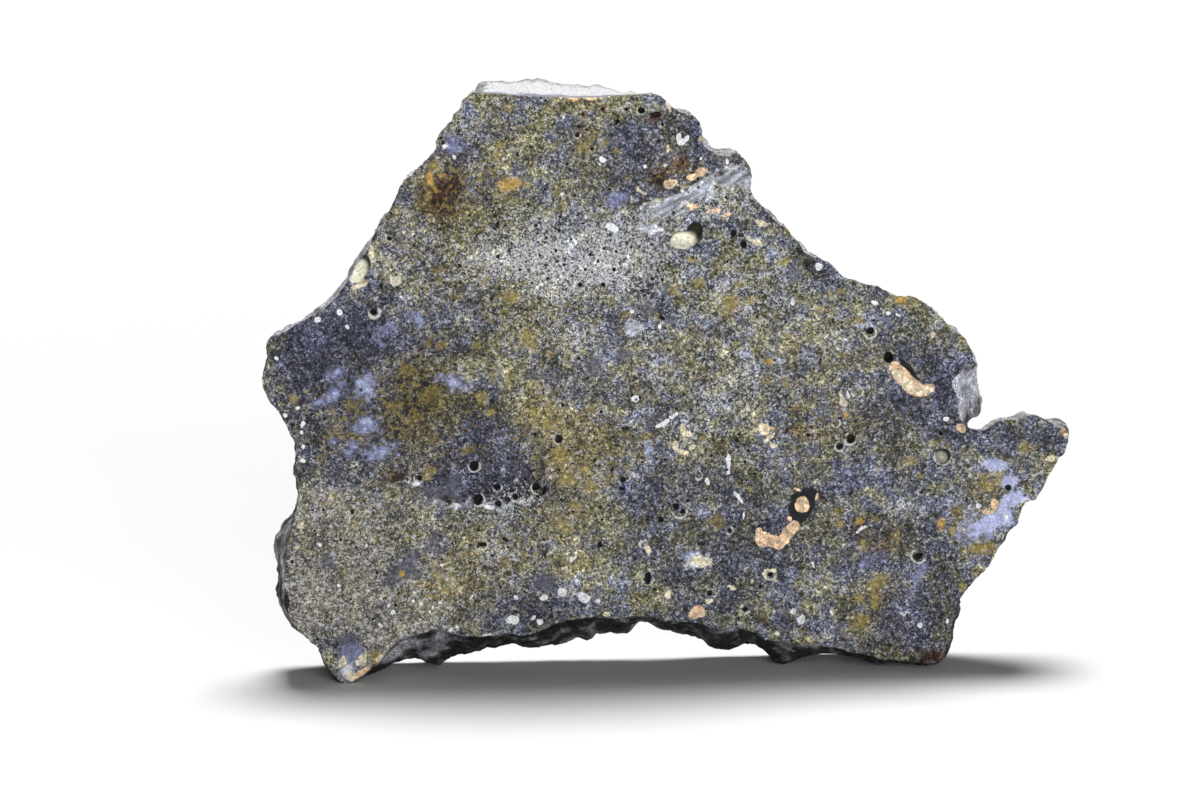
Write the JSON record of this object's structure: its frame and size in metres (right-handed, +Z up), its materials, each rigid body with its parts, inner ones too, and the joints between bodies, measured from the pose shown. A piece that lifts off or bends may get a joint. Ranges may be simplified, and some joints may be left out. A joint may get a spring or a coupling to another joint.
{
  "type": "eucrite meteorite slice",
  "caption": "Sawn slab of vesicular basaltic meteorite with a ragged broken rim, standing upright on flats worn on the low points of its rim.",
  "frame": {"origin": "centre of the slice's bounding box at ground level, between the two feet it stands on", "axes": "+X along the slice's long side, to the right as the cut face is seen; +Y through the slab from the cut face to the back; +Z up"},
  "size_m": [0.1194, 0.014, 0.0886],
  "materials": {
    "eucrite": "sawn and lightly honed fine-grained basaltic rock, blue-grey, olive and ochre with white feldspar specks; broken rim rough and dark"
  },
  "bodies": {
    "root": {"meteorite_slice": "eucrite"}
  },
  "joints": []
}
